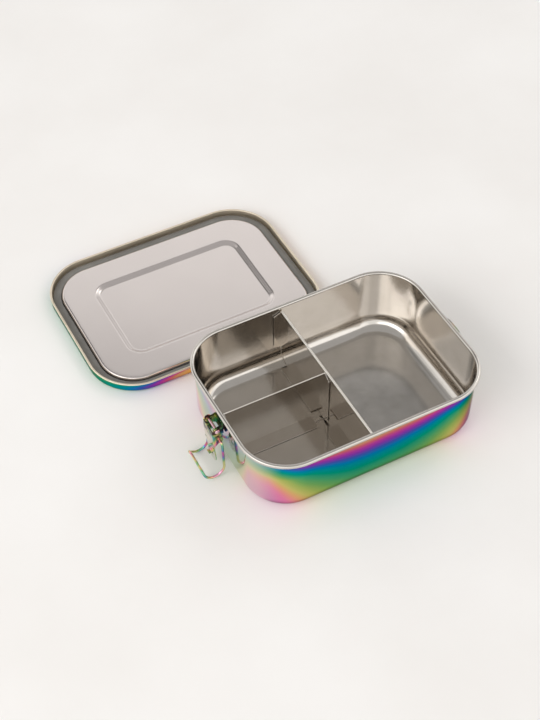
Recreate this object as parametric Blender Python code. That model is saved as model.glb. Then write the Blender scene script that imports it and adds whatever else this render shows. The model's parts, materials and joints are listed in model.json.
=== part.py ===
"""Bento lunch box: a drawn steel tub with a lift-out divider, two wire-bail latches,
and its lid lying upside down behind the tub. Metres, +Z up, X along the long side,
origin at the centre of the tub's flat underside."""

import bmesh
import bpy
from math import atan2, cos, pi, sin, sqrt
from mathutils import Matrix, Vector

MM = 0.001
GAP = 0.3                     # air left between touching pieces

# Tub
TUB_LENGTH = 200.0            # over the rolled rim
TUB_WIDTH = 148.0
TUB_HEIGHT = 58.0
TUB_CORNER = 38.0             # corner radius of the rolled rim
TUB_SHEET = 0.8
ROLL_RADIUS = 1.75            # rolled rim
TUB_DRAFT = 1.0               # how far the wall leans in between rim and base
BASE_RADIUS = 14.0            # outside radius between wall and base

# Lid, as it lies: open side up, top side on the table
LID_LENGTH = 205.0
LID_WIDTH = 155.0
LID_HEIGHT = 9.0
LID_CORNER = 40.0
LID_SHEET = 0.7
LID_PLACE = (-49.0, 165.0)    # centre of the lid on the table
HEM_WIDTH = 1.8               # folded edge of the skirt
HEM_DEPTH = 3.0
SKIRT_SETBACK = 0.3           # the hem stands this far outside the skirt
SKIRT_RADIUS = 3.0            # outside radius between the skirt and the lid's top
CHANNEL_RADIUS = 1.0          # outside radius between the channel and its inner wall
PANEL_LEVEL = 6.0             # inner face of the flat panel
PANEL_INSET = 10.3            # from the skirt's outside to the panel
FIELD_LENGTH = 134.6          # pressed field in the middle of the panel
FIELD_WIDTH = 88.2
FIELD_CORNER = 14.0
FIELD_SLOPE = 4.8
FIELD_DEPTH = 1.8
GASKET_INNER = 9.2            # insets of the gasket from the skirt's outside
GASKET_OUTER = 2.2
GASKET_TOP = 3.5
GASKET_EDGE = 0.6             # rounding of the gasket's upper edges

# Lift-out divider
DIVIDER_SHEET = 0.8
DIVIDER_TOP = 54.5
HEM_THICKNESS = 2.0           # closed hem along the main plate's top edge
HEM_HEIGHT = 4.5
MAIN_PLACE = -9.0             # X of the main plate
CROSS_PLACE = -2.5            # Y of the cross plate
FLANGE = 7.0
FLANGE_CHAMFER = 4.0
FLANGE_FOOT = 2.0             # chamfer at a flange's lower end
FLANGE_START = 1.0            # the end flanges start this far above the base radius
WALL_CLEARANCE = 0.6
NOTCH_BEYOND = 4.0            # the main plate's foot is left out this far past the cross plate

# Latches; X is measured outwards from the middle of the tub
PIN_X, PIN_Z = 103.8, 44.7
PIN_RADIUS = 1.2
PIN_HEAD = 2.0
HEAD_DEPTH = 0.9
BRACKET_WIDTH = 13.0
BRACKET_BOTTOM, BRACKET_TOP = 38.0, 49.0
BRACKET_BACK = 98.3           # outer face of the bracket's back plate
EAR_TIP = 2.4
LATCH_SHEET = 0.8
LEVER_X = 107.4               # top of the lever's plate
LEVER_HALF_WIDTH = 7.6        # middle of each side cheek
# The lever's plate from top to tip: (how far it leans in, height, half width)
LEVER_ROWS = ((0.0, 45.0, 7.6), (0.0, 40.0, 7.6), (0.7, 31.0, 7.6), (1.1, 27.0, 7.6),
              (1.6, 22.5, 6.3), (2.3, 15.5, 6.3), (2.7, 11.5, 6.2), (3.0, 8.3, 5.4),
              (3.2, 6.2, 3.9), (3.3, 5.2, 2.2))
CHEEK_ROWS = 4                # the rows that the side cheeks are folded from
TAB_ROW = 5                   # the finger tab is lanced out of this row
TAB_HALF_WIDTH = 1.9
TAB_BENDS = ((0.0, 0.0), (2.0, -0.8), (3.6, -0.6))      # (outwards, up) from the tab's root
CHEEK_BY_PIN = ((1.6, 2.7), (-0.4, 3.0), (-2.2, 1.9), (-2.8, 0.0), (-3.0, -3.7))
CHEEK_BY_BAIL = (-2.4, 2.5)   # (outwards, up) from the bail's pivot
CHEEK_RADIUS = 2.9            # round end of a cheek, about the bail's pivot
BAIL_X, BAIL_Z = 102.0, 33.5  # pivot of the wire bail in the lever's cheeks
WIRE_RADIUS = 1.0
BAIL_HALF_WIDTH = 12.0        # legs at the pivot
BAIL_SPREAD = 14.0            # legs at the hook
BAIL_LEG = 23.4
HOOK_RADIUS = 8.5
BAIL_CORNER = 7.5
BAIL_BEND = 2.0               # where the wire turns from the pivot into a leg
BAIL_END = 2.0                # how far the wire's ends reach inside the cheeks

CORNER_STEPS = 10             # facets in each rounded corner
ARC_STEPS = 6                 # facets in each small radius of a profile


def clear_scene():
    for item in list(bpy.data.objects):
        bpy.data.objects.remove(item, do_unlink=True)


def steel(name, colour, roughness, metallic=1.0):
    material = bpy.data.materials.new(name)
    material.use_nodes = True
    shader = material.node_tree.nodes["Principled BSDF"]
    shader.inputs["Base Color"].default_value = (*colour, 1.0)
    shader.inputs["Roughness"].default_value = roughness
    shader.inputs["Metallic"].default_value = metallic
    return material


def add_object(name, mesh, material, parent=None):
    piece = bpy.data.objects.new(name, mesh)
    bpy.context.scene.collection.objects.link(piece)
    mesh.materials.clear()
    mesh.materials.append(material)
    mesh.shade_smooth()
    mesh.set_sharp_from_angle(angle=pi / 6)
    piece.parent = parent
    return piece


def add_empty(name, place):
    empty = bpy.data.objects.new(name, None)
    empty.location = Vector(place) * MM
    bpy.context.scene.collection.objects.link(empty)
    return empty


def mesh_from(shape, name):
    """Turn a closed bmesh drawn in millimetres into a mesh in metres, facing out."""
    bmesh.ops.recalc_face_normals(shape, faces=shape.faces)
    bmesh.ops.scale(shape, vec=(MM, MM, MM), verts=shape.verts)
    mesh = bpy.data.meshes.new(name)
    shape.to_mesh(mesh)
    shape.free()
    return mesh


# ---------------------------------------------------------------- drawn shells

def rounded_ring(length, width, radius, height):
    """Points of a rounded rectangle, counter-clockwise from the +X side."""
    points = []
    for quarter, (side_x, side_y) in enumerate(((1, 1), (-1, 1), (-1, -1), (1, -1))):
        middle_x = side_x * (length / 2 - radius)
        middle_y = side_y * (width / 2 - radius)
        for step in range(CORNER_STEPS + 1):
            turn = (quarter + step / CORNER_STEPS) * pi / 2
            points.append((middle_x + radius * cos(turn),
                           middle_y + radius * sin(turn), height))
    return points


def shell(rings, name, closed=False):
    """Skin a chain of rings; the two end rings are capped unless the chain closes."""
    shape = bmesh.new()
    loops = [[shape.verts.new(point) for point in ring] for ring in rings]
    pairs = list(zip(loops, loops[1:]))
    if closed:
        pairs.append((loops[-1], loops[0]))
    for lower, upper in pairs:
        for i in range(len(lower)):
            shape.faces.new((lower[i - 1], lower[i], upper[i], upper[i - 1]))
    if not closed:
        shape.faces.new(loops[0])
        shape.faces.new(loops[-1])
    return mesh_from(shape, name)


def arc(inset, height, radius, start, end, steps=ARC_STEPS):
    """Points of a profile's radius; angles in degrees from the inset axis to the height."""
    turns = [start + (end - start) * step / steps for step in range(steps + 1)]
    return [(inset + radius * cos(t * pi / 180), height + radius * sin(t * pi / 180))
            for t in turns]


def tub_wall_inset(height):
    """How far the wall's inner face stands in from the rim's outside."""
    rise = (height - BASE_RADIUS) / (TUB_HEIGHT - BASE_RADIUS)
    return 2 * ROLL_RADIUS + TUB_DRAFT * (1 - rise)


def tub_inner_half(size, height):
    """Half the room inside the tub between two facing walls."""
    inside = BASE_RADIUS - TUB_SHEET
    inset = tub_wall_inset(max(height, BASE_RADIUS))
    if height < BASE_RADIUS:
        inset += inside - sqrt(inside ** 2 - (BASE_RADIUS - height) ** 2)
    return size / 2 - inset


def make_tub(material):
    outer_foot = 2 * ROLL_RADIUS - TUB_SHEET + TUB_DRAFT
    roll_level = TUB_HEIGHT - ROLL_RADIUS
    meet = ROLL_RADIUS - TUB_SHEET                # wall's outside, from the roll's middle
    drop = sqrt(ROLL_RADIUS ** 2 - meet ** 2)
    start = atan2(-drop, meet) * 180 / pi
    profile = arc(outer_foot + BASE_RADIUS, BASE_RADIUS, BASE_RADIUS, 270, 180)
    profile += arc(ROLL_RADIUS, roll_level, ROLL_RADIUS, start, -180, 5)[:-1]
    profile += arc(ROLL_RADIUS, roll_level, ROLL_RADIUS, -180, -360)
    profile += arc(outer_foot + BASE_RADIUS, BASE_RADIUS, BASE_RADIUS - TUB_SHEET, 180, 270)
    rings = [rounded_ring(TUB_LENGTH - 2 * inset, TUB_WIDTH - 2 * inset,
                          TUB_CORNER - inset, height) for inset, height in profile]
    return add_object("tub", shell(rings, "tub"), material)


def lid_ring(inset, height):
    return rounded_ring(LID_LENGTH - 2 * inset, LID_WIDTH - 2 * inset,
                        LID_CORNER - inset, height)


def field_ring(inset, height):
    return rounded_ring(FIELD_LENGTH - 2 * inset, FIELD_WIDTH - 2 * inset,
                        FIELD_CORNER - inset, height)


def make_lid(steel_material, rubber):
    place = add_empty("lid_place", (*LID_PLACE, 0.0))
    under = PANEL_LEVEL - LID_SHEET
    hem = HEM_WIDTH / 2
    inner_radius = CHANNEL_RADIUS - LID_SHEET     # inside radius of each sharp bend
    channel_wall = PANEL_INSET - LID_SHEET
    outside = [(PANEL_INSET + CHANNEL_RADIUS, under)]
    outside += arc(PANEL_INSET + inner_radius, under - inner_radius, inner_radius, 90, 180, 2)
    outside += arc(PANEL_INSET - CHANNEL_RADIUS, CHANNEL_RADIUS, CHANNEL_RADIUS, 0, -90, 3)
    outside += arc(SKIRT_SETBACK + SKIRT_RADIUS, SKIRT_RADIUS, SKIRT_RADIUS, 270, 180)
    top = arc(hem, LID_HEIGHT - hem, hem, 180, 0)
    inside = [(HEM_WIDTH, LID_HEIGHT - HEM_DEPTH)]
    inside += [(SKIRT_SETBACK + LID_SHEET, LID_HEIGHT - HEM_DEPTH - inner_radius)]
    inside += arc(SKIRT_SETBACK + SKIRT_RADIUS, SKIRT_RADIUS, SKIRT_RADIUS - LID_SHEET, 180, 270, 4)
    inside += arc(channel_wall - inner_radius, LID_SHEET + inner_radius, inner_radius, 270, 360, 2)
    inside += arc(channel_wall + CHANNEL_RADIUS, PANEL_LEVEL - CHANNEL_RADIUS,
                  CHANNEL_RADIUS, 180, 90, 3)
    rings = [field_ring(FIELD_SLOPE, under - FIELD_DEPTH), field_ring(0.0, under)]
    rings += [lid_ring(*point) for point in outside + top + inside]
    rings += [field_ring(0.0, PANEL_LEVEL), field_ring(FIELD_SLOPE, PANEL_LEVEL - FIELD_DEPTH)]
    add_object("lid_shell", shell(rings, "lid_shell"), steel_material, place)

    floor = LID_SHEET + GAP
    edge = GASKET_EDGE
    section = [(GASKET_INNER, floor), (GASKET_OUTER + edge, floor)]
    section += [(GASKET_OUTER, floor + edge), (GASKET_OUTER, GASKET_TOP - edge)]
    section += [(GASKET_OUTER + edge, GASKET_TOP), (GASKET_INNER - edge, GASKET_TOP)]
    section += [(GASKET_INNER, GASKET_TOP - edge)]
    rings = [lid_ring(*point) for point in section]
    add_object("lid_gasket", shell(rings, "lid_gasket", closed=True), rubber, place)


# ---------------------------------------------------------------- folded sheet

def thicken(piece, thickness):
    """Give a folded sheet its thickness, with each flat kept exactly as thick."""
    solid = piece.modifiers.new("Thickness", 'SOLIDIFY')
    solid.solidify_mode = 'NON_MANIFOLD'
    solid.nonmanifold_thickness_mode = 'CONSTRAINTS'
    solid.nonmanifold_merge_threshold = 0.00001
    solid.thickness = thickness * MM
    solid.offset = 0.0


def sheet_mesh(name, faces):
    """A folded sheet: faces are lists of points, and equal points are one vertex."""
    shape = bmesh.new()
    for points in faces:
        shape.faces.new([shape.verts.new(point) for point in points])
    bmesh.ops.remove_doubles(shape, verts=shape.verts, dist=0.001)
    return mesh_from(shape, name)


def hidden_tool(name, mesh):
    """An object that only shapes another one."""
    tool = bpy.data.objects.new(name, mesh)
    bpy.context.scene.collection.objects.link(tool)
    tool.hide_render = True
    tool.display_type = 'WIRE'
    return tool


def combine(piece, tool, operation):
    join = piece.modifiers.new(operation.title(), 'BOOLEAN')
    join.operation = operation
    join.solver = 'EXACT'
    join.object = tool


def plate_end(size, sign, low, high, steps=5):
    """Edge of a plate that follows a wall: (place, height) from low to high."""
    thickness = DIVIDER_SHEET / 2
    points = []
    for step in range(steps + 1):
        turn = (1 - step / steps) * pi / 2
        height = low + (high - low) * (1 - sin(turn))
        place = tub_inner_half(size, height - thickness) - WALL_CLEARANCE - thickness
        points.append((sign * place, height))
    return points


def add_hem(plate, place, half):
    """Close the plate's top edge with a rounded hem, joined to the plate."""
    shape = bmesh.new()
    bmesh.ops.create_cube(shape, size=1.0)
    bmesh.ops.scale(shape, vec=(HEM_THICKNESS, 2 * half, HEM_HEIGHT), verts=shape.verts)
    long_edges = [edge for edge in shape.edges
                  if abs(edge.verts[0].co.y - edge.verts[1].co.y) > half
                  and edge.verts[0].co.z > 0]
    bmesh.ops.bevel(shape, geom=long_edges, offset=HEM_THICKNESS * 0.4, segments=3,
                    profile=0.5, affect='EDGES', clamp_overlap=True, material=-1)
    lift = DIVIDER_TOP - HEM_HEIGHT / 2
    bmesh.ops.translate(shape, verts=shape.verts,
                        vec=(place + (HEM_THICKNESS - DIVIDER_SHEET) / 2, 0.0, lift))
    combine(plate, hidden_tool(plate.name + "_hem", mesh_from(shape, plate.name + "_hem")),
            'UNION')


def make_divider(material):
    place = add_empty("divider_place", (0.0, 0.0, 0.0))
    low = TUB_SHEET + GAP + DIVIDER_SHEET / 2
    fold = BASE_RADIUS + FLANGE_START
    half = tub_inner_half(TUB_WIDTH, DIVIDER_TOP) - WALL_CLEARANCE - DIVIDER_SHEET / 2
    top_edge = DIVIDER_TOP - FLANGE_CHAMFER
    x = MAIN_PLACE
    back = x - FLANGE

    rear = plate_end(TUB_WIDTH, 1, low, fold)
    front = plate_end(TUB_WIDTH, -1, low, fold)
    notch = (CROSS_PLACE - FLANGE - NOTCH_BEYOND, CROSS_PLACE + NOTCH_BEYOND / 2)
    outline = [(x, y, z) for y, z in reversed(front)]
    outline += [(x, notch[0], low), (x, notch[1], low)]
    outline += [(x, y, z) for y, z in rear]
    plate_top = DIVIDER_TOP - HEM_HEIGHT / 2
    outline += [(x, half, plate_top), (x, -half, plate_top)]
    faces = [outline]
    for sign, (wall, _) in ((1, rear[-1]), (-1, front[-1])):
        faces.append([(x, wall, fold), (x, sign * half, plate_top),
                      (back, sign * half, top_edge - HEM_HEIGHT / 2),
                      (back, wall, fold + FLANGE_FOOT)])
    for start, end in ((front[0][0], notch[0]), (notch[1], rear[0][0])):
        faces.append([(x, start, low), (x, end, low), (back, end, low), (back, start, low)])
    main = add_object("main_divider", sheet_mesh("main_divider", faces), material, place)
    thicken(main, DIVIDER_SHEET)
    add_hem(main, x, half)

    y = CROSS_PLACE
    near = y - FLANGE
    right = x - DIVIDER_SHEET - GAP
    left = plate_end(TUB_LENGTH, -1, low, fold)
    top_left = -(tub_inner_half(TUB_LENGTH, DIVIDER_TOP) - WALL_CLEARANCE - DIVIDER_SHEET / 2)
    foot_right = back - DIVIDER_SHEET / 2 - NOTCH_BEYOND / 2
    outline = [(px, y, z) for px, z in reversed(left)]
    outline += [(foot_right, y, low), (right, y, low), (right, y, DIVIDER_TOP)]
    outline += [(top_left, y, DIVIDER_TOP)]
    faces = [outline]
    faces.append([(right, y, low), (right, y, DIVIDER_TOP), (right, near, top_edge),
                  (right, near, low + FLANGE_FOOT)])
    faces.append([(left[-1][0], y, fold), (top_left, y, DIVIDER_TOP),
                  (top_left, near, top_edge), (left[-1][0], near, fold + FLANGE_FOOT)])
    faces.append([(left[0][0], y, low), (foot_right, y, low),
                  (foot_right, near, low), (left[0][0], near, low)])
    cross = add_object("cross_divider", sheet_mesh("cross_divider", faces), material, place)
    thicken(cross, DIVIDER_SHEET)


# ---------------------------------------------------------------- latches

def drill(piece, name, radius, x, z):
    """Drill a hole along Y, right through the piece."""
    shape = bmesh.new()
    bmesh.ops.create_cone(shape, cap_ends=True, segments=16, radius1=radius,
                          radius2=radius, depth=2 * BRACKET_WIDTH)
    bmesh.ops.rotate(shape, verts=shape.verts, matrix=Matrix.Rotation(pi / 2, 3, 'X'))
    bmesh.ops.translate(shape, verts=shape.verts, vec=(x, 0.0, z))
    combine(piece, hidden_tool(name, mesh_from(shape, name)), 'DIFFERENCE')


def round_end(middle_x, middle_z, radius, start, end, steps):
    return [(middle_x + radius * cos(t * pi / 180), middle_z + radius * sin(t * pi / 180))
            for t in [start + (end - start) * step / steps for step in range(steps + 1)]]


def make_bracket(side, name, material):
    """U-shaped bracket: back plate on the tub's wall and two ears that hold the pin."""
    back = BRACKET_BACK - LATCH_SHEET / 2
    half = (BRACKET_WIDTH - LATCH_SHEET) / 2
    tip = round_end(PIN_X, PIN_Z, EAR_TIP, 95, -75, 7)
    faces = [[(side * back, -half, BRACKET_BOTTOM), (side * back, half, BRACKET_BOTTOM),
              (side * back, half, BRACKET_TOP), (side * back, -half, BRACKET_TOP)]]
    for y in (-half, half):
        faces.append([(side * back, y, BRACKET_BOTTOM), (side * back, y, BRACKET_TOP)]
                     + [(side * x, y, z) for x, z in tip])
    piece = add_object(name, sheet_mesh(name, faces), material)
    thicken(piece, LATCH_SHEET)
    drill(piece, name + "_hole", PIN_RADIUS + GAP, side * PIN_X, PIN_Z)


def make_pin(side, name, material):
    """Riveted pin along Y with a peened head on each end."""
    reach = LEVER_HALF_WIDTH + LATCH_SHEET / 2 + GAP
    stations = ((-reach - HEAD_DEPTH, PIN_HEAD * 0.7), (-reach - HEAD_DEPTH * 0.6, PIN_HEAD),
                (-reach, PIN_HEAD), (-reach, PIN_RADIUS))
    stations += tuple((-y, radius) for y, radius in reversed(stations))
    shape = bmesh.new()
    verts = [shape.verts.new((radius, y, 0.0)) for y, radius in stations]
    chain = [shape.edges.new(pair) for pair in zip(verts, verts[1:])]
    bmesh.ops.spin(shape, geom=verts + chain, cent=(0, 0, 0), axis=(0, 1, 0),
                   angle=2 * pi, steps=12, use_merge=True)
    bmesh.ops.remove_doubles(shape, verts=shape.verts, dist=0.001)
    bmesh.ops.holes_fill(shape, edges=shape.edges)
    bmesh.ops.translate(shape, verts=shape.verts, vec=(side * PIN_X, 0.0, PIN_Z))
    add_object(name, mesh_from(shape, name), material)


def make_lever(side, name, material):
    """Lever: a plate with two cheeks that straddle the bracket, and a lanced finger tab."""
    rows = [(LEVER_X - lean, height, half) for lean, height, half in LEVER_ROWS]
    faces = []
    for row, (upper, lower) in enumerate(zip(rows, rows[1:])):
        inner_upper = min(TAB_HALF_WIDTH, upper[2] / 2)
        inner_lower = min(TAB_HALF_WIDTH, lower[2] / 2)
        columns = ((-upper[2], -lower[2], -inner_upper, -inner_lower),
                   (-inner_upper, -inner_lower, inner_upper, inner_lower),
                   (inner_upper, inner_lower, upper[2], lower[2]))
        for column, (a, b, c, d) in enumerate(columns):
            if row == TAB_ROW and column == 1:
                continue
            faces.append([(side * upper[0], a, upper[1]), (side * lower[0], b, lower[1]),
                          (side * lower[0], d, lower[1]), (side * upper[0], c, upper[1])])
    root = rows[TAB_ROW]
    tab = [(root[0] + out, root[1] + up) for out, up in TAB_BENDS]
    for (x0, z0), (x1, z1) in zip(tab, tab[1:]):
        faces.append([(side * x0, -TAB_HALF_WIDTH, z0), (side * x1, -TAB_HALF_WIDTH, z1),
                      (side * x1, TAB_HALF_WIDTH, z1), (side * x0, TAB_HALF_WIDTH, z0)])
    cheek = [(x, z) for x, z, _ in reversed(rows[:CHEEK_ROWS])]
    cheek += [(PIN_X + out, PIN_Z + up) for out, up in CHEEK_BY_PIN]
    cheek += [(BAIL_X + CHEEK_BY_BAIL[0], BAIL_Z + CHEEK_BY_BAIL[1])]
    cheek += round_end(BAIL_X, BAIL_Z, CHEEK_RADIUS, 180, 290, 5)
    for y in (-LEVER_HALF_WIDTH, LEVER_HALF_WIDTH):
        faces.append([(side * x, y, z) for x, z in cheek])
    pivot = add_empty(name + "_axis", (side * PIN_X, 0.0, PIN_Z))
    piece = add_object(name, sheet_mesh(name, faces), material, pivot)
    piece.matrix_parent_inverse = pivot.matrix_basis.inverted()
    thicken(piece, LATCH_SHEET)
    drill(piece, name + "_pin_hole", PIN_RADIUS + GAP, side * PIN_X, PIN_Z)
    drill(piece, name + "_bail_hole", WIRE_RADIUS + GAP, side * BAIL_X, BAIL_Z)


def bail_route():
    """Half of the bail's centre line: end in the lever, leg, hook, half of the bar.
    Gives (outwards, across, height) from the pivot."""
    route = [(0.0, LEVER_HALF_WIDTH - BAIL_END, 0.0)]
    route += [(0.0, y, z) for y, z in round_end(BAIL_HALF_WIDTH - BAIL_BEND, -BAIL_BEND,
                                                BAIL_BEND, 90, 0, 3)]
    route.append((0.0, BAIL_SPREAD, -BAIL_LEG))
    hook_steps = 12
    hook = pi * HOOK_RADIUS
    for step in range(1, hook_steps + 1):
        turn = pi * step / hook_steps
        left = hook * (1 - step / hook_steps)     # wire still to run before the bar
        across = BAIL_SPREAD
        if left < BAIL_CORNER:
            across -= BAIL_CORNER * (1 - sqrt(1 - (1 - left / BAIL_CORNER) ** 2))
        route.append((HOOK_RADIUS * (1 - cos(turn)), across,
                      -BAIL_LEG - HOOK_RADIUS * sin(turn)))
    return route


def make_bail(side, name, material):
    """Wire bail: sprung into the lever's cheeks, with a hooked end for the lid's edge."""
    half = bail_route()
    route = half + [(x, -y, z) for x, y, z in reversed(half)]
    wire = bpy.data.curves.new(name, 'CURVE')
    wire.dimensions = '3D'
    wire.bevel_depth = WIRE_RADIUS * MM
    wire.bevel_resolution = 2
    wire.use_fill_caps = True
    spline = wire.splines.new('POLY')
    spline.points.add(len(route) - 1)
    for point, (x, y, z) in zip(spline.points, route):
        point.co = (side * x * MM, y * MM, z * MM, 1.0)
    piece = bpy.data.objects.new(name, wire)
    piece.location = Vector((side * BAIL_X, 0.0, BAIL_Z)) * MM
    wire.materials.append(material)
    bpy.context.scene.collection.objects.link(piece)


def main():
    clear_scene()
    rainbow = steel("rainbow_steel", (0.45, 0.42, 0.55), 0.12)
    bright = steel("bright_steel", (0.72, 0.70, 0.67), 0.18)
    satin = steel("satin_steel", (0.74, 0.70, 0.68), 0.32)
    latch = steel("dark_rainbow_steel", (0.20, 0.19, 0.26), 0.15)
    rubber = steel("silicone", (0.20, 0.21, 0.20), 0.6, metallic=0.0)
    make_tub(rainbow)
    make_lid(satin, rubber)
    make_divider(bright)
    for side, word in ((-1, "left"), (1, "right")):
        make_bracket(side, "latch_bracket_" + word, latch)
        make_pin(side, "latch_pin_" + word, latch)
        make_lever(side, "latch_lever_" + word, latch)
        make_bail(side, "latch_bail_" + word, latch)


main()
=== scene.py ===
"""Looks of a drawn steel lunch box: rainbow-coated tub and lid, lift-out divider, wire-bail
latches. Metres, +Z up. The parts follow in the order in which the box is put together."""

import json
from math import acos, cos, degrees, pi, radians, sin, sqrt

import bmesh
import bpy
from mathutils import Matrix, Vector


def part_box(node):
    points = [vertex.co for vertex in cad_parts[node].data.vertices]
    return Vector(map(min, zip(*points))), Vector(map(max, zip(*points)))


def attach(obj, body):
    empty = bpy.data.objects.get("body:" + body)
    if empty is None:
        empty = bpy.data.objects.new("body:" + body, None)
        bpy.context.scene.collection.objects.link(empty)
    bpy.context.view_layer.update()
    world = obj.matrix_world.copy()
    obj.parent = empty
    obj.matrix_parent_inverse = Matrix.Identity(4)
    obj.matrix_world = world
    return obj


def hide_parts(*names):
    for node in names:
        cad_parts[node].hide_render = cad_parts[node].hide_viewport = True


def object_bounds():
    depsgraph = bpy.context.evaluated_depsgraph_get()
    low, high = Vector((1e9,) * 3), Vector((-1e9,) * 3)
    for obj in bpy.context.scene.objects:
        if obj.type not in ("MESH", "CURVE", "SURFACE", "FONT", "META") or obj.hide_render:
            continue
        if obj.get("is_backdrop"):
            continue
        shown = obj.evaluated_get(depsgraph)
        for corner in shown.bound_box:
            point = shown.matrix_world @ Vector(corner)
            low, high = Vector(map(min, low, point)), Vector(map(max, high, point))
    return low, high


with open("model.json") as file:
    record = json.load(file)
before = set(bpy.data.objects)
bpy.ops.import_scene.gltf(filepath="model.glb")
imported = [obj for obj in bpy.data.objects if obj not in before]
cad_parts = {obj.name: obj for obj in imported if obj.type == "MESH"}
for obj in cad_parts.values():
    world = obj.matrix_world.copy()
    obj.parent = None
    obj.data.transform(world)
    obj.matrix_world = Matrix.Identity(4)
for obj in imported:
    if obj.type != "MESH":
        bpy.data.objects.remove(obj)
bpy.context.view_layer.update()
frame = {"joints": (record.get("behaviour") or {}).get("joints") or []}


# ---------------------------------------------------------------- Tub
# A rectangular tub drawn from 0.8 mm stainless sheet, its edge rolled outwards into a bead.
# Inside and bead are bare polished steel. The outside has a thin oxide coat, grown in
# vacuum, whose thickness drifts over the surface and shows as rainbow bands.

tub_low, tub_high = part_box("tub")
tub_sheet = 0.0008
bead_radius = 0.00175
rim_corner = 0.038
wall_draft = 0.001
base_radius = 0.014
same_point = 1e-6
sharp_angle = radians(40)


def arc_points(inset, height, radius, start, end, steps):
    """Round stretch of a section; angles in degrees from the inset axis towards the height."""
    turns = [radians(start + (end - start) * step / steps) for step in range(steps + 1)]
    return [(inset + radius * cos(turn), height + radius * sin(turn)) for turn in turns]


def carry_round(section, low, high, corner, turns, closed=False):
    """Draw a section along each side of a rounded rectangle and spin it round each corner.
    The section is a list of (inset from the outline, height)."""
    shape = bmesh.new()
    verts = [shape.verts.new((high.x - inset, low.y + corner, height)) for inset, height in section]
    chain = [shape.edges.new(pair) for pair in zip(verts, verts[1:])]
    if closed:
        chain.append(shape.edges.new((verts[-1], verts[0])))
    ring = verts + chain
    run_x, run_y = high.x - low.x - 2 * corner, high.y - low.y - 2 * corner
    corners = ((high.x - corner, high.y - corner), (low.x + corner, high.y - corner),
               (low.x + corner, low.y + corner), (high.x - corner, low.y + corner))
    runs = ((0, run_y), (-run_x, 0), (0, -run_y), (run_x, 0))
    for middle, run in zip(corners, runs):
        ring = bmesh.ops.spin(shape, geom=ring, cent=(0, 0, 0), axis=(0, 0, 1), angle=0.0,
                              dvec=(*run, 0), steps=1)["geom_last"]
        ring = bmesh.ops.spin(shape, geom=ring, cent=(*middle, 0), axis=(0, 0, 1),
                              angle=pi / 2, steps=turns)["geom_last"]
    bmesh.ops.remove_doubles(shape, verts=shape.verts, dist=same_point)
    return shape


def close_shape(shape):
    """Fill what is open and turn every face outwards."""
    bmesh.ops.holes_fill(shape, edges=[edge for edge in shape.edges if edge.is_boundary])
    bmesh.ops.recalc_face_normals(shape, faces=shape.faces)


def add_piece(name, shape, materials, body, slot, *nodes):
    """Make the object, let it ride on its body and stand for its CAD nodes."""
    mesh = bpy.data.meshes.new(name)
    shape.to_mesh(mesh)
    shape.free()
    for material in materials:
        mesh.materials.append(material)
    mesh.shade_smooth()
    mesh.set_sharp_from_angle(angle=sharp_angle)
    piece = bpy.data.objects.new(name, mesh)
    bpy.context.scene.collection.objects.link(piece)
    flatten = piece.modifiers.new("Flats stay flat", 'WEIGHTED_NORMAL')
    flatten.keep_sharp = True
    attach(piece, body)
    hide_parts(*nodes)


def linear(red, green, blue):
    """A colour given as seen on a screen, 0 to 255, as the shader's linear values."""
    parts = [value / 255 for value in (red, green, blue)]
    return (*[v / 12.92 if v <= 0.04045 else ((v + 0.055) / 1.055) ** 2.4 for v in parts], 1.0)


def new_material(name):
    """A material with nodes, and its shader."""
    material = bpy.data.materials.new(name)
    material.use_nodes = True
    return material, material.node_tree.nodes["Principled BSDF"]


def node(material, kind, inputs=(), **settings):
    """Add a shader node; each input is set to a number or colour, or linked to a socket."""
    tree = material.node_tree
    made = tree.nodes.new("ShaderNode" + kind)
    for key, value in settings.items():
        setattr(made, key, value)
    for socket, value in dict(inputs).items():
        if isinstance(value, bpy.types.NodeSocket):
            tree.links.new(value, made.inputs[socket])
        else:
            made.inputs[socket].default_value = value
    return made


def reckon(material, operation, *values):
    """One step of arithmetic on numbers or sockets."""
    return node(material, "Math", enumerate(values), operation=operation).outputs[0]


def feed(material, source, socket):
    """Link a socket to the one it feeds."""
    material.node_tree.links.new(source, socket)


def ramp(material, factor, stops):
    """Colour ramp from (position, colour) stops."""
    made = node(material, "ValToRGB", {0: factor})
    elements = made.color_ramp.elements
    while len(elements) < len(stops):
        elements.new(1.0)
    for element, (place, colour) in zip(elements, stops):
        element.position = place
        element.color = colour
    return made.outputs[0]


def place_nodes(material, scale=(1, 1, 1)):
    """Object coordinates, scaled along each axis."""
    source = node(material, "TexCoord").outputs["Object"]
    return node(material, "Mapping", {0: source, 3: scale}).outputs[0]


def roughen(material, shader, grain, roughness, spread, bump, depth):
    """Vary roughness and surface with a grain, such as fine polishing lines."""
    rough = node(material, "MapRange", {0: grain, 3: roughness - spread, 4: roughness + spread})
    feed(material, rough.outputs[0], shader.inputs["Roughness"])
    lines = node(material, "Bump", {"Height": grain, "Strength": bump, "Distance": depth})
    return lines.outputs[0]


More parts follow.
